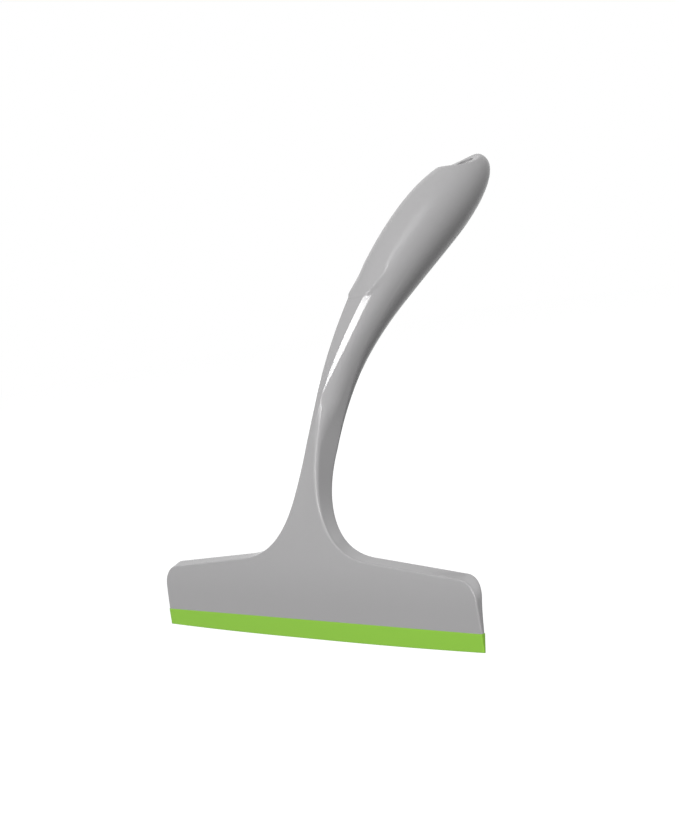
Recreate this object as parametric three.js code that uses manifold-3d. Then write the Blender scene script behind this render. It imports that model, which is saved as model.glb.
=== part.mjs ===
// Kitchen squeegee: a T-shaped plastic body with a curved handle, a cover that closes the hollow at
// the back of the grip, and a flexible rubber blade along the lower edge of the head.
// Units are millimetres. X runs along the blade, +Y is the back of the tool and +Z is up.
// The origin is the middle of the wiping edge.

import * as THREE from 'three';
import { LoftGeometry } from 'three/addons/geometries/LoftGeometry.js';
import { mergeVertices } from 'three/addons/utils/BufferGeometryUtils.js';
import Module from 'manifold-3d';

// Blade: a wedge whose lower part is the free lip.
const BLADE_WIDTH = 230;
const LIP_HEIGHT = 9;
const EDGE_THICKNESS = 0.5;
const EDGE_CROWN = 1; // the ends of the wiping edge sit this far above its middle
const EDGE_FLAT = 40; // straight stretch in the middle of the wiping edge
const WEDGE_SLOPE = 0.17; // thickness gained per millimetre of height
const ROOT_HEIGHT = 7; // from the lower edge of the head to the middle of the bead
const ROOT_END_INSET = 6; // solid plastic left beyond each end of the blade root
const HEAD_SKIN = 0.4; // plastic left on each side of the blade root

// Head: the front face, seen from the front.
const SHOULDER_HEIGHT = 31; // at the ends of the head
const SHOULDER_SLOPE = 5.3; // degrees, rising towards the neck
const CORNER_RADIUS = 10;
const END_DRAFT = 0.6; // each end of the head leans in by this much
const TOP_DRAFT = 2.4; // the back of the shoulders stands this much above their front edge
const FILLET_REACH = 40; // from the side of the neck to where its fillet meets the shoulder
const FRONT_EDGE_RADIUS = 0.8;
const BACK_EDGE_RADIUS = 1.2;
const EDGE_SHARE = 0.4; // an edge radius takes up at most this share of the wall

// Handle: stations are lengths along its spine, from the wiping edge.
const NECK_START = 35; // the wedge of the head ends here
const NECK_AT = 93; // narrowest place of the neck
const NECK_WIDTH = 11.4;
const NECK_DEPTH = 12.8;
const HANDLE_LENGTH = 283;
const TIP_LENGTH = 51; // from the fullest place of the grip to its tip
const GRIP_WIDTH = 34;
const GRIP_DEPTH = 32.6;
const ROUND_START = 90; // the section is flat-sided below this station
const ROUND_LENGTH = 80; // and oval after this further length
const SPINE_LEAN = [
  // share of the handle's length, degrees that the spine leans back from upright there
  [0.064, 0],
  [0.106, 8.4],
  [0.148, 15],
  [0.198, 21.5],
  [0.265, 28],
  [0.353, 29],
  [0.495, 38],
  [0.636, 49],
  [0.813, 55.5],
  [1, 62],
];

// Thumb pad: a low raised step on the front of the grip, with a U-shaped lower end.
const PAD_BELOW_GRIP = 69; // from the fullest place of the grip down to its lower end
const PAD_STEP = 0.6;
const PAD_NOSE = 5; // length of its rounded lower end
const PAD_WIDTH = 13;
const PAD_LENGTH = 52;
const PAD_FADE = 62; // the step dies out over this length

// Rear cover and the hollow behind it.
const COVER_BELOW_GRIP = 27; // from the fullest place of the grip down to the cover's middle
const COVER_LENGTH = 84;
const COVER_SIDE = 5; // from the side of the grip to the edge of the cover
const COVER_THICKNESS = 2.8;
const COVER_LEDGE = 2; // ledge all round that the cover sits on
const WALL = 3; // plastic in front of the hollow
const WEB = 8; // cross walls that carry the cover's pegs
const PEG_DIAMETER = 4;
const PEG_LENGTH = 7;

// Hanging slot near the tip, at the bottom of a dish.
const SLOT_FROM_TIP = 14;
const SLOT_LENGTH = 16;
const SLOT_WIDTH = 8;
const SLOT_TILT = 18; // degrees, slot and dish face this much nearer upright than the handle's front
const DISH_SIDE = 16; // the dish reaches this far past the slot on each side
const DISH_END = 4.5; // and this far past its ends
const DISH_DEPTH = 4.8;

const FIT_GAP = 0.3; // between pieces that seat on each other
const CUT_CLEAR = 8; // cutting shapes stand this far out of the surface

// Stations that follow from these sizes.
const GRIP_AT = HANDLE_LENGTH - TIP_LENGTH;
const PAD_AT = GRIP_AT - PAD_BELOW_GRIP;
const COVER_AT = GRIP_AT - COVER_BELOW_GRIP;
const SLOT_AT = HANDLE_LENGTH - SLOT_FROM_TIP;

// Fineness of the surfaces.
const SPINE_STEP = 0.5;
const FACE_STEPS = 3;
const EDGE_STEPS = 3;
const END_ROWS = 3;
const CORNER_ROWS = 6;
const SHOULDER_ROWS = 5;
const FILLET_ROWS = 16;
const GRIP_ROWS = 26;
const TIP_ROWS = 14;
const TIP_LAND = 0.01; // the dome ends this far short, in a tiny flat
const LIP_ROWS = 6;
const PLUG_ROWS = 16;
const PLUG_END = 0.998; // an oval plug stops this share of the way to its pointed ends
const ROUND_SIDES = 24;
const MERGE_TOLERANCE = 1e-4;

const wasm = await Module();
wasm.setup();

// Solids: closed geometry in, closed geometry out.

function solidOf(geometry) {
  const bare = new THREE.BufferGeometry().copy(geometry);
  bare.deleteAttribute('normal');
  bare.deleteAttribute('uv');
  const merged = mergeVertices(bare, MERGE_TOLERANCE);
  return new wasm.Manifold(new wasm.Mesh({
    numProp: 3,
    vertProperties: new Float32Array(merged.attributes.position.array),
    triVerts: new Uint32Array(merged.index.array),
  }));
}

function geometryOf(solid) {
  const mesh = solid.getMesh();
  const geometry = new THREE.BufferGeometry();
  geometry.setAttribute('position', new THREE.BufferAttribute(mesh.vertProperties, 3));
  geometry.setIndex(new THREE.BufferAttribute(mesh.triVerts, 1));
  geometry.computeVertexNormals();
  return geometry;
}

// The tool is laid out flat, with x across it, a station along it and a depth from its spine to the
// back, and is then bent back along the spine.

const { clamp, lerp, degToRad } = THREE.MathUtils;

function ease(share) {
  return THREE.MathUtils.smoothstep(share, 0, 1);
}

function leanAt(station) {
  let [from, lean] = [0, 0];
  for (const [share, next] of SPINE_LEAN) {
    const to = share * HANDLE_LENGTH;
    if (station <= to) return degToRad(lerp(lean, next, (station - from) / (to - from)));
    [from, lean] = [to, next];
  }
  return degToRad(lean);
}

const spine = [new THREE.Vector3()];
for (let station = 0; station < HANDLE_LENGTH + SPINE_STEP; station += SPINE_STEP) {
  const lean = leanAt(station + SPINE_STEP / 2);
  const step = new THREE.Vector3(0, Math.sin(lean), Math.cos(lean)).multiplyScalar(SPINE_STEP);
  spine.push(spine.at(-1).clone().add(step));
}

function spinePoint(station) {
  const at = clamp(station / SPINE_STEP, 0, spine.length - 2);
  const below = Math.floor(at);
  return spine[below].clone().lerp(spine[below + 1], at - below);
}

function bend(x, depth, station) {
  const lean = leanAt(station);
  return spinePoint(station).add(new THREE.Vector3(x, depth * Math.cos(lean), -depth * Math.sin(lean)));
}

// Axes of a straight feature that goes into the handle from the front, centred on a station.
function featureFrame(station, depth, tilt = 0) {
  const lean = leanAt(station) + degToRad(tilt);
  const across = new THREE.Vector3(1, 0, 0);
  const along = new THREE.Vector3(0, Math.sin(lean), Math.cos(lean));
  const outward = new THREE.Vector3(0, -Math.cos(lean), Math.sin(lean));
  return new THREE.Matrix4().makeBasis(across, along, outward).setPosition(bend(0, depth, station));
}

// Thickness of the wedge-shaped head, the neck, the grip and its domed tip, and width of the handle.
function wedgeAt(height) {
  return EDGE_THICKNESS + WEDGE_SLOPE * height;
}

function gripShare(station) {
  return ease((station - NECK_AT) / (GRIP_AT - NECK_AT));
}

function tipShare(station) {
  const share = clamp((station - GRIP_AT) / (HANDLE_LENGTH - GRIP_AT), 0, 1);
  return Math.sqrt(1 - share * share);
}

function thicknessAt(station) {
  if (station < NECK_START) return wedgeAt(station);
  if (station < NECK_AT) {
    return lerp(wedgeAt(NECK_START), NECK_DEPTH, (station - NECK_START) / (NECK_AT - NECK_START));
  }
  return lerp(NECK_DEPTH, GRIP_DEPTH, gripShare(station)) * tipShare(station);
}

function halfWidthAt(station) {
  return lerp(NECK_WIDTH, GRIP_WIDTH, gripShare(station)) / 2 * tipShare(station);
}

// The spine starts on the front face of the head and moves to the middle of the handle.
function frontAt(station) {
  return thicknessAt(station) / 2 * ease((station - NECK_START) / (NECK_AT - NECK_START));
}

function backAt(station) {
  return thicknessAt(station) - frontAt(station);
}

// Right-hand outline of the front face, as points (half-width, station) from the blade to the tip.
function bodyOutline() {
  const end = BLADE_WIDTH / 2;
  const slope = degToRad(SHOULDER_SLOPE);
  const shoulder = (x) => SHOULDER_HEIGHT + (end - x) * Math.tan(slope);
  const cornerX = end - END_DRAFT - CORNER_RADIUS;
  const cornerZ = shoulder(cornerX) - CORNER_RADIUS / Math.cos(slope);
  const neck = NECK_WIDTH / 2;
  const filletX = neck + FILLET_REACH;

  const start = new THREE.Vector2(end, LIP_HEIGHT + FIT_GAP);
  const cornerLow = new THREE.Vector2(cornerX + CORNER_RADIUS, cornerZ);
  const corner = new THREE.EllipseCurve(
    cornerX, cornerZ, CORNER_RADIUS, CORNER_RADIUS, 0, Math.PI / 2 - slope);
  const filletStart = new THREE.Vector2(filletX, shoulder(filletX));
  const fillet = new THREE.QuadraticBezierCurve(
    filletStart, new THREE.Vector2(neck, shoulder(neck)), new THREE.Vector2(neck, NECK_AT));

  const points = [
    ...new THREE.LineCurve(start, cornerLow).getPoints(END_ROWS).slice(0, -1),
    ...corner.getPoints(CORNER_ROWS).slice(0, -1),
    ...new THREE.LineCurve(corner.getPoint(1), filletStart).getPoints(SHOULDER_ROWS).slice(0, -1),
    ...fillet.getPoints(FILLET_ROWS).slice(0, -1),
  ];
  const stations = [];
  for (let row = 0; row < GRIP_ROWS; row++) {
    stations.push(lerp(NECK_AT, GRIP_AT, row / GRIP_ROWS));
  }
  for (let row = 0; row < TIP_ROWS; row++) {
    stations.push(lerp(GRIP_AT, HANDLE_LENGTH, Math.sin(row / TIP_ROWS * Math.PI / 2)));
  }
  stations.push(HANDLE_LENGTH - TIP_LAND);
  return [...points, ...stations.map((station) => new THREE.Vector2(halfWidthAt(station), station))];
}

// Half a section through the body, from the middle of its front to the middle of its back. The flat
// sections of the head carry their rounded edges square to the outline.
function halfSection(edge, outward, raise) {
  const station = edge.y;
  const thick = thicknessAt(station);
  const limit = EDGE_SHARE * Math.min(thick, edge.x);
  const frontRadius = Math.min(FRONT_EDGE_RADIUS, limit);
  const backRadius = Math.min(BACK_EDGE_RADIUS, limit);
  const middle = new THREE.Vector2(0, station);
  const frontCorner = edge.clone().addScaledVector(outward, -frontRadius);
  const backCorner = edge.clone().addScaledVector(outward, -backRadius);

  const flat = [];
  for (let i = 0; i < FACE_STEPS; i++) {
    flat.push([middle.clone().lerp(frontCorner, i / FACE_STEPS), 0]);
  }
  for (let i = 0; i <= EDGE_STEPS; i++) {
    const angle = i / EDGE_STEPS * Math.PI / 2;
    const at = frontCorner.clone().addScaledVector(outward, frontRadius * Math.sin(angle));
    flat.push([at, frontRadius * (1 - Math.cos(angle))]);
  }
  for (let i = 0; i <= EDGE_STEPS; i++) {
    const angle = i / EDGE_STEPS * Math.PI / 2;
    const at = backCorner.clone().addScaledVector(outward, backRadius * Math.cos(angle));
    flat.push([at, thick - backRadius * (1 - Math.sin(angle))]);
  }
  for (let i = FACE_STEPS - 1; i >= 0; i--) {
    flat.push([middle.clone().lerp(backCorner, i / FACE_STEPS), thick]);
  }

  const round = ease((station - ROUND_START) / ROUND_LENGTH);
  const low = LIP_HEIGHT + FIT_GAP;
  const draft = TOP_DRAFT * ease((station - low) / (SHOULDER_HEIGHT - low)) * (1 - round);
  return flat.map(([at, depth], i) => {
    const angle = i / (flat.length - 1) * Math.PI;
    const ovalDepth = thick / 2 * (1 - Math.cos(angle));
    const fromFront = lerp(depth, ovalDepth, round);
    const forward = raise * (1 + Math.cos(angle)) / 2;
    return {
      x: lerp(at.x, edge.x * Math.sin(angle), round),
      depth: fromFront - frontAt(station) - forward,
      station: lerp(at.y + draft * depth / thick, station, round),
    };
  });
}

// The whole body as one loft. raiseAt gives how far the front is pushed out at a station.
function bodyLoft(raiseAt) {
  const outline = bodyOutline();
  const sections = outline.map((edge, row) => {
    const before = outline[Math.max(row - 1, 0)];
    const after = outline[Math.min(row + 1, outline.length - 1)];
    const outward = new THREE.Vector2(after.y - before.y, before.x - after.x).normalize();
    const half = halfSection(edge, outward, raiseAt(edge.y));
    const right = half.map((p) => bend(p.x, p.depth, p.station));
    const left = half.slice(1, -1).reverse().map((p) => bend(-p.x, p.depth, p.station));
    return [...right, ...left];
  });
  return solidOf(new LoftGeometry(sections, { closed: true, capStart: true, capEnd: true }));
}

// A plug that follows the bend of the handle. Each row is [half-width, station, low depth, high depth].
function plug(rows) {
  const sections = rows.map(([half, station, low, high]) => [
    bend(-half, low, station),
    bend(half, low, station),
    bend(half, high, station),
    bend(-half, high, station),
  ]);
  return solidOf(new LoftGeometry(sections, { closed: true, capStart: true, capEnd: true }));
}

// A plug with the oval outline of the rear cover, drawn in by a margin, between two depths, over the
// stretch between two stations.
function coverPlug(margin, lowAt, highAt, from, to) {
  const rows = [];
  for (let row = 0; row <= PLUG_ROWS; row++) {
    const station = lerp(from, to, (1 - PLUG_END * Math.cos(row / PLUG_ROWS * Math.PI)) / 2);
    const fromMiddle = Math.abs(station - COVER_AT) / (COVER_LENGTH / 2 - margin);
    const oval = Math.pow(1 - Math.pow(fromMiddle, 4), 0.25);
    const half = (halfWidthAt(station) - COVER_SIDE - margin) * oval;
    rows.push([half, station, lowAt(station), highAt(station)]);
  }
  return plug(rows);
}

// Thumb pad: the front pushed out inside a U-shaped outline that widens up the grip.
function thumbPad() {
  const fade = (station) => PAD_STEP * (1 - ease((station - PAD_AT) / PAD_FADE));
  const raised = bodyLoft((station) => (station < PAD_AT - PAD_NOSE ? 0 : fade(station)));
  const nose = [];
  for (let row = 1; row <= PLUG_ROWS; row++) {
    const angle = row / PLUG_ROWS * Math.PI / 2;
    nose.push([PAD_WIDTH / 2 * Math.sin(angle), PAD_AT + PAD_NOSE * (1 - Math.cos(angle))]);
  }
  for (let row = 1; row <= PLUG_ROWS; row++) {
    const share = row / PLUG_ROWS;
    nose.push([
      lerp(PAD_WIDTH, GRIP_WIDTH, share) / 2,
      lerp(PAD_AT + PAD_NOSE, PAD_AT + PAD_LENGTH, share),
    ]);
  }
  const zone = plug(nose.map(([half, at]) => [half, at, -frontAt(at) - CUT_CLEAR, 0]));
  return raised.intersect(zone);
}

// Hanging slot: a rounded slot that goes through the tip, with a dish around its front end.
function hangingSlot() {
  const place = featureFrame(SLOT_AT, -frontAt(SLOT_AT), SLOT_TILT);
  const radius = SLOT_WIDTH / 2;
  const straight = Math.max(SLOT_LENGTH - SLOT_WIDTH, 0) / 2;
  const outline = new THREE.Shape();
  outline.absarc(0, straight, radius, 0, Math.PI, false);
  outline.absarc(0, -straight, radius, Math.PI, 2 * Math.PI, false);
  const through = 2 * GRIP_DEPTH;
  const slot = new THREE.ExtrudeGeometry(outline, {
    depth: through, bevelEnabled: false, curveSegments: ROUND_SIDES / 2,
  });
  slot.translate(0, 0, -through / 2);
  slot.applyMatrix4(place);

  const dish = new THREE.SphereGeometry(1, ROUND_SIDES, ROUND_SIDES / 2);
  dish.scale(radius + DISH_SIDE, SLOT_LENGTH / 2 + DISH_END, DISH_DEPTH);
  dish.applyMatrix4(place);
  return solidOf(slot).add(solidOf(dish));
}

// Blade root: a web and a bead, held in a slot of the same shape in the head. The web stands on the
// middle plane of the wedge.
const JUNCTION = LIP_HEIGHT + FIT_GAP;
const ROOT_MARGIN = 2 * (HEAD_SKIN + FIT_GAP);

function rootBar(grow, below, length) {
  const web = (wedgeAt(JUNCTION) - ROOT_MARGIN) / 2 + grow;
  const bead = (wedgeAt(JUNCTION + ROOT_HEIGHT) - ROOT_MARGIN) / 2 + grow;
  const joinAngle = Math.asin(web / bead);
  const profile = new THREE.Shape();
  profile.moveTo(-web, -below);
  profile.lineTo(web, -below);
  profile.absarc(0, ROOT_HEIGHT, bead, joinAngle - Math.PI / 2, 1.5 * Math.PI - joinAngle, false);
  profile.closePath();
  const bar = new THREE.ExtrudeGeometry(profile, {
    depth: length, bevelEnabled: false, curveSegments: ROUND_SIDES / 2,
  });
  bar.translate(0, 0, -length / 2);
  const [x, y, z] = [new THREE.Vector3(1, 0, 0), new THREE.Vector3(0, 1, 0), new THREE.Vector3(0, 0, 1)];
  bar.applyMatrix4(new THREE.Matrix4().makeBasis(y, z, x));
  bar.rotateX(-Math.atan(WEDGE_SLOPE / 2));
  bar.translate(0, wedgeAt(JUNCTION) / 2, JUNCTION);
  return bar;
}

// Free lip: its round top turns about the flex line just below the head.
const FLEX_RADIUS = wedgeAt(LIP_HEIGHT) / (2 + WEDGE_SLOPE);
const FLEX_HEIGHT = LIP_HEIGHT - FLEX_RADIUS;

function lipGeometry() {
  const end = BLADE_WIDTH / 2;
  const flat = EDGE_FLAT / 2;
  const stations = [];
  for (let i = 0; i <= LIP_ROWS; i++) {
    stations.push(lerp(flat, end, i / LIP_ROWS));
  }
  const across = [...stations.map((x) => -x).reverse(), ...stations];
  const sections = across.map((x) => {
    const bow = (Math.abs(x) - flat) / (end - flat);
    const edge = EDGE_CROWN * bow * bow;
    const profile = [[0, edge], [wedgeAt(edge), edge]];
    for (let i = 0; i <= ROUND_SIDES / 2; i++) {
      const angle = i / (ROUND_SIDES / 2) * Math.PI;
      profile.push([FLEX_RADIUS * (1 + Math.cos(angle)), FLEX_HEIGHT + FLEX_RADIUS * Math.sin(angle)]);
    }
    return profile.map(([y, z]) => new THREE.Vector3(x, y, z));
  });
  return new LoftGeometry(sections, { closed: true, capStart: true, capEnd: true });
}

// Rear cover: the skin of the grip's back inside an oval outline, with pegs into the cross walls.
const HOLLOW_LENGTH = COVER_LENGTH - 2 * COVER_LEDGE;
const CELL = (HOLLOW_LENGTH - 2 * WEB) / 3;
const PEG_STATIONS = [COVER_AT - (CELL + WEB) / 2, COVER_AT + (CELL + WEB) / 2];
const COVER_FROM = COVER_AT - COVER_LENGTH / 2;
const outside = (station) => backAt(station) + CUT_CLEAR;
const coverInside = (station) => backAt(station) - COVER_THICKNESS;

function peg(station, radius, length) {
  const root = COVER_THICKNESS / 2;
  const pin = new THREE.CylinderGeometry(radius, radius, length + root, ROUND_SIDES);
  pin.rotateX(Math.PI / 2);
  pin.translate(0, 0, (length - root) / 2);
  pin.applyMatrix4(featureFrame(station, coverInside(station)));
  return solidOf(pin);
}

function rearCover(handle) {
  const zone = coverPlug(0, coverInside, outside, COVER_FROM, COVER_FROM + COVER_LENGTH);
  return PEG_STATIONS.reduce(
    (cover, station) => cover.add(peg(station, PEG_DIAMETER / 2, PEG_LENGTH)), handle.intersect(zone));
}

// What is taken out of the grip for the cover: its recess, three hollow cells and the peg holes.
function coverSeat() {
  const seat = (station) => coverInside(station) - FIT_GAP;
  const floor = (station) => WALL - frontAt(station);
  const recess = coverPlug(
    -FIT_GAP, seat, outside, COVER_FROM - FIT_GAP, COVER_FROM + COVER_LENGTH + FIT_GAP);
  const cells = [0, 1, 2].map((i) => {
    const from = COVER_FROM + COVER_LEDGE + i * (CELL + WEB);
    return coverPlug(COVER_LEDGE, floor, outside, from, from + CELL);
  });
  const holes = PEG_STATIONS.map(
    (station) => peg(station, PEG_DIAMETER / 2 + FIT_GAP, PEG_LENGTH + FIT_GAP));
  return [...cells, ...holes].reduce((all, cut) => all.add(cut), recess);
}

// Assembly.
const handle = bodyLoft(() => 0);
const rootLength = BLADE_WIDTH - 2 * ROOT_END_INSET;
const bodySolid = handle
  .add(thumbPad())
  .subtract(hangingSlot())
  .subtract(coverSeat())
  .subtract(solidOf(rootBar(FIT_GAP, LIP_HEIGHT / 2, rootLength + 2 * FIT_GAP)));

const greyPlastic = new THREE.MeshStandardMaterial({ color: 0xa7a6a7, roughness: 0.35, metalness: 0 });
const greenRubber = new THREE.MeshStandardMaterial({ color: 0x8abe51, roughness: 0.6, metalness: 0 });

const squeegee = new THREE.Group();

function addPiece(name, geometry, material) {
  const mesh = new THREE.Mesh(geometry, material);
  mesh.name = name;
  squeegee.add(mesh);
}

addPiece('body', geometryOf(bodySolid), greyPlastic);
addPiece('rear_cover', geometryOf(rearCover(handle)), greyPlastic);
addPiece('blade_root', rootBar(0, 0, rootLength), greenRubber);
addPiece('blade_lip', lipGeometry(), greenRubber);

export default squeegee;
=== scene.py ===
import math

import bmesh
import bpy
import numpy as np
from mathutils import Matrix, Vector


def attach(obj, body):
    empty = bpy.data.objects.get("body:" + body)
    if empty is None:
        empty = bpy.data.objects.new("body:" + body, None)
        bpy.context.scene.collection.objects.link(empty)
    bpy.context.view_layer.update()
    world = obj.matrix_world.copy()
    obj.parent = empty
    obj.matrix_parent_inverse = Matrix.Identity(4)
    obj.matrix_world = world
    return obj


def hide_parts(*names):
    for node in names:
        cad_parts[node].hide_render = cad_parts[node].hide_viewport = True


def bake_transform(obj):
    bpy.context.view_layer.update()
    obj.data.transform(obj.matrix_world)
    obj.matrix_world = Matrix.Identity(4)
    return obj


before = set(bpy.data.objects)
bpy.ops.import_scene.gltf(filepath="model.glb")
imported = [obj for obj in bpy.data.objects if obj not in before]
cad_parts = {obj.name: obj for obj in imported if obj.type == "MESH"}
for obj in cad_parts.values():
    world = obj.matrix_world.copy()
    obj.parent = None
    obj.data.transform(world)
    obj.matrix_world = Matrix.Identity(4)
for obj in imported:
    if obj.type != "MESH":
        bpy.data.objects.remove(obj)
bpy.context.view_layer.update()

# The squeegee is laid out flat in millimetres, with x across it, a station along it and a depth from its
# spine to the back. It is then bent back along the spine and brought to metres.
MM = 0.001

# Blade: a rubber wedge that hangs from the lower edge of the head.
BLADE_WIDTH = 230
LIP_HEIGHT = 9
EDGE_THICKNESS = 0.5
EDGE_CROWN = 1  # the ends of the wiping edge sit this far above its middle
EDGE_FLAT = 40  # straight stretch in the middle of the wiping edge
WEDGE_SLOPE = 0.17  # thickness gained per millimetre of height
BLADE_EDGE_RADIUS = 0.08
BLADE_EDGE_SEGMENTS = 2
BLADE_COLUMNS = 116
BLADE_ROWS = 13

# Head: the front face, seen from the front.
JUNCTION = 9.15  # lower edge of the head
JUNCTION_GAP = 0.05  # the blade stops this far below it
SHOULDER_HEIGHT = 31  # front edge of the shoulders at the ends of the head
SHOULDER_SLOPE = 5.3  # degrees
CORNER_RADIUS = 10
END_DRAFT = 0.6
TOP_DRAFT = 2.4  # the back of the shoulders stands this much above their front edge
FILLET_REACH = 40  # the fillet beside the neck starts this far out on the shoulder
FRONT_EDGE_RADIUS = 0.8
NECK_EDGE_RADIUS = 2.4  # the front edge grows rounder up the neck
BACK_EDGE_RADIUS = 1.2
EDGE_SHARE = 0.4  # an edge radius takes up at most this share of the thickness and of the half-width

# Handle: stations are lengths along its spine, from the wiping edge.
NECK_START = 35
NECK_AT = 93
NECK_WIDTH = 11.4
NECK_DEPTH = 12.8
HANDLE_LENGTH = 282.9
TIP_LENGTH = 51
GRIP_WIDTH = 34
GRIP_DEPTH = 32.6
ROUND_START = 85  # the section turns into an oval from here, over the next length
ROUND_LENGTH = 60
NECK_TAPER = 0.2  # the neck's front is narrower than its back by this share
TAPER_IN = (68, 100)  # stations between which the taper comes
TAPER_OUT = (94, 118)  # and between which it goes
FRONT_BOW = [
    # share of the handle's length, how far the front lies behind the middle line of its curve there
    (0.124, 0),
    (0.3, 0.2),
    (0.388, -1.8),
    (0.63, 1.6),
    (0.78, 0),
]

# Ridges: from the upper neck to the thumb pad the front is a narrow flat between two slanted facets.
RIDGE_START = 84  # the plain section of the neck turns into the ridged one from here
RIDGE_END = 116  # to here
RIDGE_AT = 114.5  # lower end of the facets
RIDGE_HALF = 1.8  # half of the flat's width there
RIDGE_SPREAD = 0.078  # gained by it per millimetre
FACET_SLANT = 40  # degrees
FACET_BREAK = 3  # the side's curve starts this much steeper than the facets
FACET_TURN = 22  # length below RIDGE_END in which the facets turn to their slant
FACET_NARROW = 0.1  # width of a facet at its lower end
FACET_WIDE = 3.3  # and where it is fully grown
FACET_LENGTH = 38  # length in which the facets grow to their full width
SIDE_MIDDLE = 0.5  # share of the depth at which the curve of the side stands upright
UPPER_GRIP = 32  # length in which the ridged section turns into the oval of the grip
SPINE_LEAN = [
    # share of the handle's length, degrees that the spine leans back from upright there
    (0.064, 0),
    (0.106, 8.4),
    (0.148, 15),
    (0.198, 21.5),
    (0.265, 28),
    (0.353, 29),
    (0.495, 38),
    (0.636, 49),
    (0.813, 55.5),
    (1, 62),
]
SPINE_STEP = 0.25
SPINE_SMOOTHING = 10  # the lean is averaged over this length

# Thumb pad: a low raised step on the front of the grip, with a U-shaped lower end.
PAD_BELOW_GRIP = 66.7  # from the fullest part of the grip down to the end of the pad
PAD_RISE = 0.3  # it stands proud by this much at its lower end, dying out over its length
PAD_NOSE = 6  # length of its U-shaped end
PAD_WIDTH = 18
PAD_LENGTH = 38
PAD_FLAT = 5  # half-width of its flat middle
PAD_RUN = 24  # length in which the pad itself turns into the oval of the grip
PAD_EDGE_LOW = 1.4  # width of its rounded edge at the lower end
PAD_EDGE_HIGH = 11  # and where it runs out

# Rear cover.
COVER_BELOW_GRIP = 27  # from the fullest part of the grip down to the middle of the cover
COVER_LENGTH = 84
COVER_SIDE = 5  # from the side of the grip to the edge of the cover
COVER_THICKNESS = 2.8
COVER_EDGE_RADIUS = 0.35
COVER_EDGE_SEGMENTS = 3
COVER_SQUARENESS = 4  # exponent of its outline: 2 is an ellipse, more is nearer a rectangle
COVER_END = 0.9995  # the mesh stops this share of the way to the ends of the outline
COVER_ROWS = 60
COVER_COLUMNS = 24
FIT_GAP = 0.3  # around the cover and under it
CUT_CLEAR = 6  # the cutter of its recess stands out of the grip's back by this much

# Hanging slot near the tip, at the bottom of a dish.
SLOT_FROM_TIP = 14
SLOT_LENGTH = 16
SLOT_WIDTH = 8
SLOT_STEPS = 24  # steps round each end of the slot
SLOT_TILT = 18  # degrees, slot and dish face this much nearer upright than the handle's front
DISH_SIDE = 16  # from the slot to the rim of the dish, sideways
DISH_END = 6.5  # and along the handle
DISH_DEPTH = 4.1
DISH_RIM = 0.5  # softness of the dish's rim

GRIP_AT = HANDLE_LENGTH - TIP_LENGTH
PAD_AT = GRIP_AT - PAD_BELOW_GRIP
COVER_AT = GRIP_AT - COVER_BELOW_GRIP
SLOT_AT = HANDLE_LENGTH - SLOT_FROM_TIP
SLOT_CUT = (-2 * GRIP_DEPTH, GRIP_DEPTH)  # the slot's cutter reaches from inside to outside of the front
DISH_REACH = GRIP_DEPTH / 3  # the dish moves only what lies less than this far inside the front

# Fineness of the body: columns in each zone of half a section with the turn in degrees at which the zone
# ends, and rows along its outline.
SECTION_ZONES = [(26, 41.5), (30, 83), (8, 97), (16, 138.5), (14, 180)]
TURN_ROUNDING = 1e-6  # keeps the column at a quarter turn out of the front
FACET_COLUMNS = 8
END_ROWS = 8
CORNER_ROWS = 20
SHOULDER_ROWS = 14
FILLET_ROWS = 50
NECK_ROWS = 70
PAD_ROWS = 90
GRIP_ROWS = 60
TIP_ROWS = 60
TIP_LAND = 0.01  # the last row stops this far below the tip
PAD_ZONE = (-4, 26)  # stretch with fine rows, from the lower end of the pad
SHARP_ANGLE = 35  # degrees

# Finishes: heights in metres, noise scales per metre.
GREY_PLASTIC = {
    "colour": (0.386, 0.381, 0.386),
    "tint_change": 0.03,
    "roughness": (0.15, 0.25),  # on the neck and on the grip
    "roughness_change": 0.04,
    "grain_scale": 1500.0,
    "grain_height": 0.000001,
    "specular": 0.28,
}
GREEN_RUBBER = {
    "colour": (0.28, 0.575, 0.06),
    "tint_change": 0.05,
    "roughness": (0.6, 0.6),
    "roughness_change": 0.08,
    "grain_scale": 2500.0,
    "grain_height": 0.00001,
    "specular": 0.3,
}
SATIN_FROM = 0.154  # heights between which the first roughness turns into the second
SATIN_TO = 0.186
DRIFT_SCALE = 22.0  # slow drift of the colour
DRIFT_DETAIL = 3.0
DUST_SCALE = 900.0  # fine changes of colour and gloss
DUST_DETAIL = 2.0
DUST_SHARE = 0.5  # the fine changes of colour are this share of the slow ones
GRAIN_DETAIL = 4.0
NOISE_MIDDLE = 0.5
WHITE = (1, 1, 1, 1)

# Camera and light: angles in degrees, lengths of the lights and the floor in metres.
CAMERA_AZIMUTH = 50
CAMERA_PITCH = 4.2402
CAMERA_ROLL = 8.8719
CAMERA_RIGHT = 29.7753  # from the origin to the camera, to the right, up and back, in millimetres
CAMERA_UP = 105.4008
CAMERA_BACK = 799.5306
FOCAL_PIXELS = 1701.283
IMAGE_HEIGHT = 815
SENSOR_HEIGHT = 36  # in millimetres
STRIP_DISTANCE = 5
STRIPS = {
    # long narrow lights: directions to their two ends, width, watts
    "key": ((0.432, -0.66, 0.615), (0.38, -0.4, 0.834), 0.35, 88),
    "key_end": ((0.375, -0.37, 0.85), (0.33, -0.24, 0.91), 0.45, 10),
    "key_far": ((0.35, -0.22, 0.91), (0.33, 0, 0.944), 2.2, 26),
}
FILL_DISTANCE = 4
FILLS = {
    # direction from the squeegee, size, watts
    "fill_front": ((0.34, -0.82, 0.46), 2.2, 74),
    "fill_left": ((-0.55, -0.8, 0.25), 2.5, 7),
    "fill_right": ((0.6, -0.79, 0.05), 1.0, 25),
    "fill_side": ((0.78, -0.45, 0.43), 2.0, 7),
}
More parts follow.
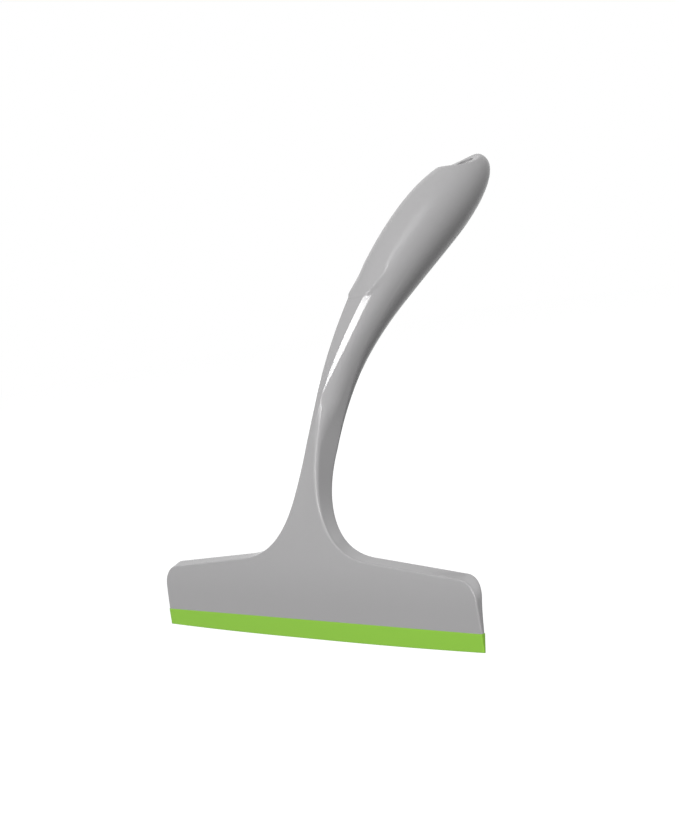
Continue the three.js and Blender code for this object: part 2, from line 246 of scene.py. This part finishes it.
BACK_FILL = ((-0.76, 0.63, 0.1), 3.0, 90)  # straight behind the squeegee as the camera sees it
LIGHT_TARGET = (0, 0.06, 0.11)
AMBIENT = 0.1
FLOOR_LEVEL = -0.1
FLOOR_SIZE = 12
FLOOR_GLOW = 0.98  # as the background that is seen
FLOOR_AMBIENT = 0.05  # as a light on the squeegee
FLOOR_SHADE = 0.12


def ease(share):
    share = np.clip(share, 0, 1)
    return share * share * (3 - 2 * share)


def mix(low, high, share):
    return low + (high - low) * share


# Spine: the lean is read from its table, smoothed and added up step by step.

def spine_table():
    stations = np.arange(0, HANDLE_LENGTH + 2 * SPINE_STEP, SPINE_STEP)
    places = [0] + [share * HANDLE_LENGTH for share, _ in SPINE_LEAN]
    leans = [0] + [lean for _, lean in SPINE_LEAN]
    raw = np.interp(stations, places, leans)
    window = round(SPINE_SMOOTHING / SPINE_STEP)
    padded = np.pad(raw, window, mode="reflect", reflect_type="odd")
    averaged = np.convolve(padded, np.ones(window) / window, mode="same")[window:-window]
    lean = np.radians(np.clip(averaged, 0, None))
    middle = (lean[1:] + lean[:-1]) / 2
    back = np.concatenate([[0], np.cumsum(np.sin(middle)) * SPINE_STEP])
    up = np.concatenate([[0], np.cumsum(np.cos(middle)) * SPINE_STEP])
    return stations, lean, back, up


SPINE = spine_table()


def lean_at(station):
    return np.interp(station, SPINE[0], SPINE[1])


def bend(x, depth, station):
    """Points of the flat layout, bent along the spine, in metres."""
    lean = lean_at(station)
    back = np.interp(station, SPINE[0], SPINE[2]) + depth * np.cos(lean)
    up = np.interp(station, SPINE[0], SPINE[3]) - depth * np.sin(lean)
    return np.stack(np.broadcast_arrays(x, back, up), axis=-1) * MM


# Thickness and width of the handle.

def wedge_at(height):
    return EDGE_THICKNESS + WEDGE_SLOPE * height


def grip_share(station):
    return ease((station - NECK_AT) / (GRIP_AT - NECK_AT))


def tip_share(station):
    return np.sqrt(1 - np.clip((station - GRIP_AT) / TIP_LENGTH, 0, 1) ** 2)


def thickness_at(station):
    neck = mix(wedge_at(NECK_START), NECK_DEPTH, (station - NECK_START) / (NECK_AT - NECK_START))
    grip = mix(NECK_DEPTH, GRIP_DEPTH, grip_share(station)) * tip_share(station)
    return np.where(station < NECK_START, wedge_at(station), np.where(station < NECK_AT, neck, grip))


def half_width_at(station):
    return mix(NECK_WIDTH, GRIP_WIDTH, grip_share(station)) / 2 * tip_share(station)


def front_at(station):
    return thickness_at(station) / 2 * ease((station - NECK_START) / (NECK_AT - NECK_START))


# Body.

def line(start, end, count):
    share = np.arange(count)[:, None] / count
    return mix(np.array(start), np.array(end), share)


def body_outline():
    """Right-hand outline of the front face, as rows (half-width, station) from the blade to the tip."""
    end = BLADE_WIDTH / 2
    slope = math.radians(SHOULDER_SLOPE)
    neck = NECK_WIDTH / 2
    fillet = neck + FILLET_REACH

    def shoulder(x):
        return SHOULDER_HEIGHT + (end - x) * math.tan(slope)

    corner_x = end - END_DRAFT - CORNER_RADIUS
    corner = (corner_x, shoulder(corner_x) - CORNER_RADIUS / math.cos(slope))
    turns = np.arange(CORNER_ROWS) / CORNER_ROWS * (math.pi / 2 - slope)
    arc = np.stack([np.cos(turns), np.sin(turns)], axis=1) * CORNER_RADIUS + corner
    corner_end = (
        corner[0] + CORNER_RADIUS * math.sin(slope),
        corner[1] + CORNER_RADIUS * math.cos(slope),
    )
    share = np.arange(FILLET_ROWS)[:, None] / FILLET_ROWS
    pull = [
        np.array(point)
        for point in ((fillet, shoulder(fillet)), (neck, shoulder(neck)), (neck, NECK_AT))
    ]
    curve = mix(mix(pull[0], pull[1], share), mix(pull[1], pull[2], share), share)

    low, high = PAD_AT + PAD_ZONE[0], PAD_AT + PAD_ZONE[1]
    tip = np.sin(np.arange(TIP_ROWS) / TIP_ROWS * math.pi / 2)
    stations = np.concatenate([
        np.linspace(NECK_AT, low, NECK_ROWS, endpoint=False),
        np.linspace(low, high, PAD_ROWS, endpoint=False),
        np.linspace(high, GRIP_AT, GRIP_ROWS, endpoint=False),
        GRIP_AT + tip * TIP_LENGTH,
        [HANDLE_LENGTH - TIP_LAND],
    ])
    return np.concatenate([
        line((end, JUNCTION), (end - END_DRAFT, corner[1]), END_ROWS),
        arc,
        line(corner_end, pull[0], SHOULDER_ROWS),
        curve,
        np.stack([half_width_at(stations), stations], axis=1),
    ])


def zone_places():
    """For each zone of half a section, where its columns lie in it, and the turns of all columns."""
    places, turns = [], []
    start = 0
    for count, end in SECTION_ZONES:
        place = np.arange(count) / count
        places.append(place)
        turns.append(mix(start, end, place))
        start = end
    places[0] = np.sin(places[0] * math.pi / 2)
    places[-1] = 1 - np.cos(np.append(places[-1], 1) * math.pi / 2)
    return places, np.radians(np.append(np.concatenate(turns), start))


ZONE_PLACES, TURNS = zone_places()


def front_bow(station):
    """How far the front lies behind the middle line of its curve."""
    bow = 0
    for (low, before), (high, after) in zip(FRONT_BOW, FRONT_BOW[1:]):
        bow = bow + (after - before) * ease((station / HANDLE_LENGTH - low) / (high - low))
    return bow


def chain(corners, counts):
    """Places along straight and curved pieces. A piece has two ends, or two ends and a bend."""
    runs = []
    for piece, count in zip(corners, counts):
        share = np.arange(count) / count
        if len(piece) == 2:
            runs.append(mix(piece[0], piece[1], share))
        else:
            runs.append(mix(mix(piece[0], piece[1], share), mix(piece[1], piece[2], share), share))
    return np.concatenate(runs, axis=1)


def ridged_front(half, thick, station):
    """Front quarter of the sections of the upper neck: a flat, a slanted facet and the curve of the
    side."""
    bow = front_bow(station)
    beyond = station - RIDGE_AT
    growth = np.sin(np.clip(beyond / FACET_LENGTH, 0, 1) * math.pi / 2)
    facet = mix(FACET_NARROW, FACET_WIDE, growth)
    turned = ease((station - RIDGE_END) / FACET_TURN + 1)
    slant = math.radians(FACET_SLANT) * turned
    steeper = math.radians(FACET_SLANT + FACET_BREAK) * turned
    flat = np.maximum(RIDGE_HALF + RIDGE_SPREAD * beyond, 0)
    ridge = flat + facet * np.cos(slant)
    ridge_depth = bow + facet * np.sin(slant)
    bend_depth = ridge_depth + (half - ridge) * np.tan(steeper)
    side_depth = SIDE_MIDDLE * thick
    face, arc, side = (count for count, _ in SECTION_ZONES[:3])
    counts = (face, FACET_COLUMNS, arc - FACET_COLUMNS, side // 2)
    x = chain([(0 * flat, flat), (flat, ridge), (ridge, half, half), (half, half)], counts)
    depth = chain([
        (bow, bow),
        (bow, ridge_depth),
        (ridge_depth, bend_depth, side_depth),
        (side_depth, thick / 2),
    ], counts)
    return x, depth


def padded_front(half, thick, station):
    """Front quarter of the sections at the thumb pad, which fills out the facets and stands a little
    proud."""
    bow = front_bow(station) - PAD_RISE * (1 - ease((station - PAD_AT) / PAD_LENGTH))
    side_depth = SIDE_MIDDLE * thick
    face, arc, side = (count for count, _ in SECTION_ZONES[:3])
    counts = (face, arc, side // 2)
    flat = 0 * half + PAD_FLAT
    x = chain([(0 * flat, flat), (flat, half, half), (half, half)], counts)
    depth = chain([(bow, bow), (bow, bow, side_depth), (side_depth, thick / 2)], counts)
    return x, depth


def pad_share(x, station):
    """1 on the thumb pad, 0 beside it, with a rounded edge between."""
    rise = station - PAD_AT
    share = np.clip((rise - PAD_NOSE) / (PAD_LENGTH - PAD_NOSE), 0, 1)
    half = mix(PAD_WIDTH, GRIP_WIDTH, share) / 2
    below = np.clip(1 - rise / PAD_NOSE, 0, None)
    inside = half * (1 - np.hypot(x / half, below))
    return ease(inside / mix(PAD_EDGE_LOW, PAD_EDGE_HIGH, share))


def half_sections(edge, outward):
    """Half sections of the body, one row for each edge point, from the middle of its front to the middle
    of its back: x, depth from the spine and station."""
    station = edge[:, 1:]
    half = edge[:, :1]
    thick = thickness_at(station)
    round_share = ease((station - ROUND_START) / ROUND_LENGTH)
    limit = EDGE_SHARE * np.minimum(thick, half)
    neck_share = ease((station - NECK_START) / (NECK_AT - NECK_START))
    front_radius = np.minimum(mix(FRONT_EDGE_RADIUS, NECK_EDGE_RADIUS, neck_share), limit)
    back_radius = np.minimum(BACK_EDGE_RADIUS, limit)
    draft = TOP_DRAFT * ease((station - JUNCTION) / (SHOULDER_HEIGHT - JUNCTION)) * (1 - neck_share)

    middle = np.concatenate([0 * station, station], axis=1)
    lift = np.concatenate([0 * station, draft], axis=1)
    back_edge = edge + lift
    front_corner = edge - outward * front_radius
    back_corner = back_edge - outward * back_radius
    face, front_arc, side, back_arc, back = ZONE_PLACES

    def places(start, end, share):
        return mix(start[:, None, :], end[:, None, :], share[None, :, None])

    quarter = math.pi / 2
    at = np.concatenate([
        places(middle, front_corner, face),
        places(front_corner, edge, np.sin(front_arc * quarter)),
        places(edge, back_edge, side),
        places(back_corner, back_edge, np.cos(back_arc * quarter)),
        places(back_corner, middle + lift, back),
    ], axis=1)
    bow = front_bow(station)
    depth = np.concatenate([
        0 * face + bow,
        bow + front_radius * (1 - np.cos(front_arc * quarter)),
        mix(bow + front_radius, thick - back_radius, side),
        thick - back_radius * (1 - np.sin(back_arc * quarter)),
        0 * back + thick,
    ], axis=1)

    oval_x = half * np.sin(TURNS)
    oval_depth = thick / 2 * (1 - np.cos(TURNS))
    x = mix(at[:, :, 0], oval_x, round_share)
    from_front = mix(depth, oval_depth, round_share)
    along = mix(at[:, :, 1], station, round_share)

    front = TURNS < quarter - TURN_ROUNDING
    ridged = ridged_front(half, thick, station)
    padded = padded_front(half, thick, station)
    pad = pad_share(padded[0], station)
    bare_run = ease((station - PAD_AT) / UPPER_GRIP)
    pad_run = ease((station - PAD_AT) / PAD_RUN)
    upper = ease((station - RIDGE_START) / (RIDGE_END - RIDGE_START))
    for values, oval, bare, filled in (
        (x, oval_x[:, front], ridged[0], padded[0]),
        (from_front, oval_depth[:, front], ridged[1], padded[1]),
    ):
        shaped = mix(mix(bare, oval, bare_run), mix(filled, oval, pad_run), pad)
        values[:, front] = mix(values[:, front], shaped, upper)
    tapered = ease((station - TAPER_IN[0]) / (TAPER_IN[1] - TAPER_IN[0]))
    tapered = tapered * (1 - ease((station - TAPER_OUT[0]) / (TAPER_OUT[1] - TAPER_OUT[0])))
    x = x * (1 - NECK_TAPER * tapered * np.clip(1 - from_front / thick, 0, 1))
    return x, from_front - front_at(station), along


def slot_frame():
    """Axes and centre of the hanging slot: across, along and out of the front."""
    lean = float(lean_at(SLOT_AT)) + math.radians(SLOT_TILT)
    across = np.array((1, 0, 0))
    along = np.array((0, math.sin(lean), math.cos(lean)))
    outward = np.array((0, -math.cos(lean), math.sin(lean)))
    return across, along, outward, bend(0.0, -front_at(SLOT_AT), SLOT_AT)


def scoop_dish(points):
    """Pushes the front of the tip down into the dish around the slot."""
    across, along, outward, centre = slot_frame()
    offset = (points - centre) / MM
    side = offset @ across / (SLOT_WIDTH / 2 + DISH_SIDE)
    length = offset @ along / (SLOT_LENGTH / 2 + DISH_END)
    height = offset @ outward
    floor = -DISH_DEPTH * np.sqrt(np.clip(1 - side ** 2 - length ** 2, 0, None))
    above = height - floor
    pushed = np.where((floor < 0) & (above > -DISH_RIM), (above + np.hypot(above, DISH_RIM)) / 2, 0)
    front = height > -DISH_REACH
    return points - np.where(front, pushed, 0)[..., None] * outward * MM


def mesh_object(name, points, faces):
    mesh = bpy.data.meshes.new(name)
    mesh.from_pydata([tuple(p) for p in points], [], faces)
    mesh.validate()
    obj = bpy.data.objects.new(name, mesh)
    bpy.context.collection.objects.link(obj)
    return obj


def tube_faces(rows, ring):
    """Faces of a tube of rings, closed by a face at each end."""
    faces = [tuple(reversed(range(ring)))]
    for row in range(rows - 1):
        low, high = row * ring, (row + 1) * ring
        for i in range(ring):
            after = (i + 1) % ring
            faces.append((low + i, low + after, high + after, high + i))
    faces.append(tuple((rows - 1) * ring + i for i in range(ring)))
    return faces


def make_body():
    outline = body_outline()
    run = np.gradient(outline, axis=0)
    outward = np.stack([run[:, 1], -run[:, 0]], axis=1)
    outward /= np.linalg.norm(outward, axis=1, keepdims=True)
    x, depth, station = half_sections(outline, outward)
    x[:, 0] = 0
    x[:, -1] = 0
    right = bend(x, depth, station)
    left = bend(-x, depth, station)[:, -2:0:-1]
    rings = scoop_dish(np.concatenate([right, left], axis=1))
    rows, ring, _ = rings.shape
    return mesh_object("squeegee_body", rings.reshape(-1, 3), tube_faces(rows, ring))


# Rear cover and the recess that it sits in.

def back_depth(x, station):
    """Depth of the grip's back at places across it."""
    edge = np.array([[float(half_width_at(station)), station]])
    across, depth, _ = half_sections(edge, np.array([[1.0, 0.0]]))
    behind = TURNS >= math.pi / 2
    return np.interp(np.abs(x), across[0, behind][::-1], depth[0, behind][::-1])


def cover_shell(name, margin, below, above):
    """A closed shell inside the cover's outline, between two depths measured from the grip's back."""
    half_length = COVER_LENGTH / 2 + margin
    across = np.linspace(-1, 1, COVER_COLUMNS + 1)
    rings = []
    for row in range(COVER_ROWS + 1):
        place = -COVER_END * math.cos(row / COVER_ROWS * math.pi)
        station = COVER_AT + place * half_length
        oval = (1 - place ** COVER_SQUARENESS) ** (1 / COVER_SQUARENESS)
        x = across * (float(half_width_at(station)) - COVER_SIDE + margin) * oval
        depth = back_depth(x, station)
        inner = bend(x, depth + below, station)
        outer = bend(x, depth + above, station)
        rings.append(np.concatenate([inner, outer[::-1]]))
    return mesh_object(name, np.concatenate(rings), tube_faces(len(rings), len(rings[0])))


def make_slot_cutter():
    across, along, outward, centre = slot_frame()
    radius = SLOT_WIDTH / 2
    straight = (SLOT_LENGTH - SLOT_WIDTH) / 2
    outline = []
    for end in (1, -1):
        for step in range(SLOT_STEPS + 1):
            turn = math.pi * step / SLOT_STEPS + (0 if end > 0 else math.pi)
            outline.append((radius * math.cos(turn), radius * math.sin(turn) + end * straight))
    rings = []
    for height in SLOT_CUT:
        rings += [centre + (across * u + along * v + outward * height) * MM for u, v in outline]
    return mesh_object("slot_cutter", rings, tube_faces(2, len(outline)))


# Shared steps on pieces.

def evaluated(obj):
    """Replaces an object's mesh by what its modifiers make of it."""
    graph = bpy.context.evaluated_depsgraph_get()
    mesh = bpy.data.meshes.new_from_object(obj.evaluated_get(graph))
    obj.modifiers.clear()
    old = obj.data
    obj.data = mesh
    bpy.data.meshes.remove(old)


def cut(obj, cutter):
    step = obj.modifiers.new("cut", "BOOLEAN")
    step.object = cutter
    step.operation = "DIFFERENCE"
    step.solver = "EXACT"
    evaluated(obj)
    bpy.data.objects.remove(cutter)


def round_edges(obj, radius, segments):
    step = obj.modifiers.new("round", "BEVEL")
    step.width = radius * MM
    step.segments = segments
    step.limit_method = "ANGLE"
    step.angle_limit = math.radians(SHARP_ANGLE)
    evaluated(obj)


def smooth(obj):
    mesh = obj.data
    work = bmesh.new()
    work.from_mesh(mesh)
    bmesh.ops.recalc_face_normals(work, faces=work.faces)
    work.to_mesh(mesh)
    work.free()
    mesh.shade_smooth()
    mesh.set_sharp_from_angle(angle=math.radians(SHARP_ANGLE))


# Node trees.

class Value:
    """An output of a node. Sums on it add Math nodes."""

    def __init__(self, tree, socket):
        self.tree = tree
        self.socket = socket

    def sibling(self, output):
        """Another output of the same node."""
        return Value(self.tree, self.socket.node.outputs[output])

    def math(self, operation, first, second):
        return add_node(self.tree, "ShaderNodeMath", {"operation": operation}, {0: first, 1: second})

    def __add__(self, other):
        return self.math("ADD", self, other)

    def __radd__(self, other):
        return self.math("ADD", other, self)

    def __sub__(self, other):
        return self.math("SUBTRACT", self, other)

    def __rsub__(self, other):
        return self.math("SUBTRACT", other, self)

    def __mul__(self, other):
        return self.math("MULTIPLY", self, other)

    def __rmul__(self, other):
        return self.math("MULTIPLY", other, self)

    def __truediv__(self, other):
        return self.math("DIVIDE", self, other)

    def __rtruediv__(self, other):
        return self.math("DIVIDE", other, self)

    def __abs__(self):
        return self.math("ABSOLUTE", self, 0.0)

    def at_least(self, other):
        return self.math("MAXIMUM", self, other)


def add_node(tree, kind, settings=None, sockets=None, output=0):
    """Adds a node, with its settings first, then the values or links of its sockets."""
    node = tree.nodes.new(kind)
    for name, value in (settings or {}).items():
        setattr(node, name, value)
    for key, value in (sockets or {}).items():
        if isinstance(value, Value):
            tree.links.new(value.socket, node.inputs[key])
        else:
            node.inputs[key].default_value = value
    return None if output is None else Value(tree, node.outputs[output])


# Materials.

def new_finish(name):
    finish = bpy.data.materials.new(name)
    finish.use_nodes = True
    finish.node_tree.nodes.clear()
    return finish


def noise(tree, scale, detail):
    place = add_node(tree, "ShaderNodeTexCoord", output="Object")
    return add_node(
        tree, "ShaderNodeTexNoise", {}, {"Vector": place, "Scale": scale, "Detail": detail})


def satin(tree, low, high):
    """A roughness that changes from one value on the neck to another one on the grip."""
    place = add_node(tree, "ShaderNodeTexCoord", output="Object")
    height = add_node(tree, "ShaderNodeSeparateXYZ", {}, {0: place}, output="Z")
    return add_node(tree, "ShaderNodeMapRange", {"interpolation_type": "SMOOTHSTEP"}, {
        "Value": height,
        "From Min": SATIN_FROM,
        "From Max": SATIN_TO,
        "To Min": low,
        "To Max": high,
    })


def moulded(
    name, colour, tint_change, roughness, roughness_change, grain_scale, grain_height, specular,
):
    """A moulded finish: a colour that drifts a little, a gloss that varies and a fine grain."""
    finish = new_finish(name)
    tree = finish.node_tree
    drift = noise(tree, DRIFT_SCALE, DRIFT_DETAIL) - NOISE_MIDDLE
    dust = noise(tree, DUST_SCALE, DUST_DETAIL) - NOISE_MIDDLE
    grain = noise(tree, grain_scale, GRAIN_DETAIL)
    tint = 1.0 + drift * tint_change + dust * tint_change * DUST_SHARE
    shade = add_node(
        tree, "ShaderNodeVectorMath", {"operation": "SCALE"}, {0: colour, "Scale": tint})
    bump = add_node(
        tree, "ShaderNodeBump", {}, {"Strength": 1.0, "Distance": grain_height, "Height": grain})
    shader = add_node(tree, "ShaderNodeBsdfPrincipled", {}, {
        "Base Color": shade,
        "Roughness": satin(tree, *roughness) + dust * roughness_change,
        "Specular IOR Level": specular,
        "Normal": bump,
    })
    add_node(tree, "ShaderNodeOutputMaterial", {}, {"Surface": shader}, output=None)
    return finish


def background_rays(tree):
    """1 for rays that should see the white background, 0 for rays that light the object."""
    seen = [
        add_node(tree, "ShaderNodeLightPath", output=name)
        for name in ("Is Camera Ray", "Is Glossy Ray", "Is Transmission Ray")
    ]
    return seen[0].at_least(seen[1]).at_least(seen[2])


def set_world():
    world = bpy.data.worlds.new("studio")
    bpy.context.scene.world = world
    world.use_nodes = True
    tree = world.node_tree
    tree.nodes.clear()
    soft = add_node(tree, "ShaderNodeBackground", {}, {"Color": WHITE, "Strength": AMBIENT})
    white = add_node(tree, "ShaderNodeBackground", {}, {"Color": WHITE, "Strength": 1.0})
    both = add_node(tree, "ShaderNodeMixShader", {}, {0: background_rays(tree), 1: soft, 2: white})
    add_node(tree, "ShaderNodeOutputWorld", {}, {"Surface": both}, output=None)


def make_floor():
    half = FLOOR_SIZE / 2
    corners = [(-half, -half), (half, -half), (half, half), (-half, half)]
    floor = mesh_object("floor", [(x, y, FLOOR_LEVEL) for x, y in corners], [(0, 1, 2, 3)])
    finish = new_finish("pale_floor")
    tree = finish.node_tree
    glow = add_node(tree, "ShaderNodeEmission", {}, {
        "Color": WHITE,
        "Strength": FLOOR_AMBIENT + background_rays(tree) * (FLOOR_GLOW - FLOOR_AMBIENT),
    })
    shade = add_node(
        tree, "ShaderNodeBsdfDiffuse", {}, {"Color": (FLOOR_SHADE, FLOOR_SHADE, FLOOR_SHADE, 1)})
    both = add_node(tree, "ShaderNodeAddShader", {}, {0: glow, 1: shade})
    add_node(tree, "ShaderNodeOutputMaterial", {}, {"Surface": both}, output=None)
    floor.data.materials.append(finish)


# Blade: a rule of its width, height, thickness and crown, made with Geometry Nodes.

def blade_tree(finish):
    tree = bpy.data.node_groups.new("rubber_blade", "GeometryNodeTree")
    interface = tree.interface
    interface.new_socket("Geometry", in_out="OUTPUT", socket_type="NodeSocketGeometry")
    sizes = {
        "Width": BLADE_WIDTH * MM,
        "Height": (JUNCTION - JUNCTION_GAP) * MM,
        "Edge Thickness": EDGE_THICKNESS * MM,
        "Wedge Slope": WEDGE_SLOPE,
        "Edge Crown": EDGE_CROWN * MM,
        "Edge Flat": EDGE_FLAT * MM,
    }
    size_inputs = {}
    for name, size in sizes.items():
        socket = interface.new_socket(name, in_out="INPUT", socket_type="NodeSocketFloat")
        size_inputs[socket.identifier] = size
    entry = add_node(tree, "NodeGroupInput")
    given = {name: entry.sibling(name) for name in sizes}

    # The block is centred on the origin, 1 deep and 1 high, and then takes its thickness and height.
    extent = add_node(tree, "ShaderNodeCombineXYZ", {}, {"X": given["Width"], "Y": 1.0, "Z": 1.0})
    block = add_node(tree, "GeometryNodeMeshCube", {}, {
        "Size": extent, "Vertices X": BLADE_COLUMNS, "Vertices Y": 2, "Vertices Z": BLADE_ROWS})
    place = add_node(tree, "GeometryNodeInputPosition")
    split = add_node(tree, "ShaderNodeSeparateXYZ", {}, {0: place})
    x, y, z = (split.sibling(axis) for axis in "XYZ")
    past_flat = (abs(x) - given["Edge Flat"] / 2).at_least(0.0)
    bow = past_flat / (given["Width"] / 2 - given["Edge Flat"] / 2)
    edge = given["Edge Crown"] * bow * bow
    height = edge + (given["Height"] - edge) * (z + 0.5)
    thickness = given["Edge Thickness"] + given["Wedge Slope"] * height
    shaped = add_node(
        tree, "ShaderNodeCombineXYZ", {}, {"X": x, "Y": (y + 0.5) * thickness, "Z": height})
    wedge = add_node(tree, "GeometryNodeSetPosition", {}, {"Geometry": block, "Position": shaped})
    real = add_node(tree, "GeometryNodeRealizeInstances", {}, {"Geometry": wedge})
    done = add_node(tree, "GeometryNodeSetMaterial", {}, {"Geometry": real, "Material": finish})
    add_node(tree, "NodeGroupOutput", {}, {"Geometry": done}, output=None)
    return tree, size_inputs


def make_blade(finish):
    blade = mesh_object("rubber_blade", [], [])
    tree, size_inputs = blade_tree(finish)
    step = blade.modifiers.new("rule", "NODES")
    step.node_group = tree
    for identifier, size in size_inputs.items():
        step[identifier] = size
    evaluated(blade)
    round_edges(blade, BLADE_EDGE_RADIUS, BLADE_EDGE_SEGMENTS)
    smooth(blade)
    return blade


# Camera and light.

def set_camera():
    turn, pitch, roll = (math.radians(a) for a in (CAMERA_AZIMUTH, CAMERA_PITCH, CAMERA_ROLL))
    right = Vector((math.cos(turn), math.sin(turn), 0))
    level = Vector((-math.sin(turn), math.cos(turn), 0))
    upright = Vector((0, 0, 1))
    up = upright * math.cos(pitch) + level * math.sin(pitch)
    ahead = level * math.cos(pitch) - upright * math.sin(pitch)
    axes = (
        right * math.cos(roll) - up * math.sin(roll),
        right * math.sin(roll) + up * math.cos(roll),
        -ahead,
    )
    lens = bpy.data.cameras.new("camera")
    lens.sensor_fit = "VERTICAL"
    lens.sensor_height = SENSOR_HEIGHT
    lens.lens = SENSOR_HEIGHT * FOCAL_PIXELS / IMAGE_HEIGHT
    camera = bpy.data.objects.new("camera", lens)
    place = (right * CAMERA_RIGHT + up * CAMERA_UP - ahead * CAMERA_BACK) * MM
    camera.matrix_world = Matrix.Translation(place) @ Matrix(axes).transposed().to_4x4()
    bpy.context.collection.objects.link(camera)
    bpy.context.scene.camera = camera


def add_lamp(name, aim, along, distance, power, shape, size, length):
    """An area light that faces the squeegee from a direction, with its length along another."""
    lamp = bpy.data.lights.new(name, "AREA")
    lamp.shape = shape
    lamp.size = size
    lamp.size_y = length
    lamp.energy = power
    aim = aim.normalized()
    across = along.cross(aim).normalized()
    axes = Matrix((across, aim.cross(across), aim)).transposed().to_4x4()
    obj = bpy.data.objects.new(name, lamp)
    obj.matrix_world = Matrix.Translation(Vector(LIGHT_TARGET) + aim * distance) @ axes
    bpy.context.collection.objects.link(obj)
    return obj


def light_squeegee():
    for name, (start, end, width, power) in STRIPS.items():
        low, high = Vector(start).normalized(), Vector(end).normalized()
        length = (high - low).length * STRIP_DISTANCE
        add_lamp(name, low + high, high - low, STRIP_DISTANCE, power, "RECTANGLE", width, length)
    for name, (direction, size, power) in FILLS.items():
        add_lamp(name, Vector(direction), Vector((0, 1, 0)), FILL_DISTANCE, power, "DISK", size, size)
    direction, size, power = BACK_FILL
    behind = add_lamp(
        "fill_back", Vector(direction), Vector((0, 0, 1)), FILL_DISTANCE, power, "DISK", size, size)
    behind.visible_glossy = False  # it would put a bright rim round the squeegee


# Assembly.

grey_plastic = moulded("grey_plastic", **GREY_PLASTIC)
green_rubber = moulded("green_rubber", **GREEN_RUBBER)

squeegee_body = make_body()
squeegee_body.data.materials.append(grey_plastic)
for cutter in (
    make_slot_cutter(),
    cover_shell("recess_cutter", FIT_GAP, -COVER_THICKNESS - FIT_GAP, CUT_CLEAR),
):
    cutter.data.materials.append(grey_plastic)
    smooth(cutter)
    cut(squeegee_body, cutter)
smooth(squeegee_body)

grip_cover = cover_shell("grip_cover", 0, -COVER_THICKNESS, 0)
grip_cover.data.materials.append(grey_plastic)
round_edges(grip_cover, COVER_EDGE_RADIUS, COVER_EDGE_SEGMENTS)
smooth(grip_cover)

rubber_blade = make_blade(green_rubber)

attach(squeegee_body, "handle")
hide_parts("body")
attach(grip_cover, "handle")
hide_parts("rear_cover")
flex_y = wedge_at(LIP_HEIGHT) / 2 * MM
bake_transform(rubber_blade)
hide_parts("blade_root", "blade_lip")

set_camera()
light_squeegee()
set_world()
make_floor()
bpy.context.scene.view_settings.view_transform = "Standard"
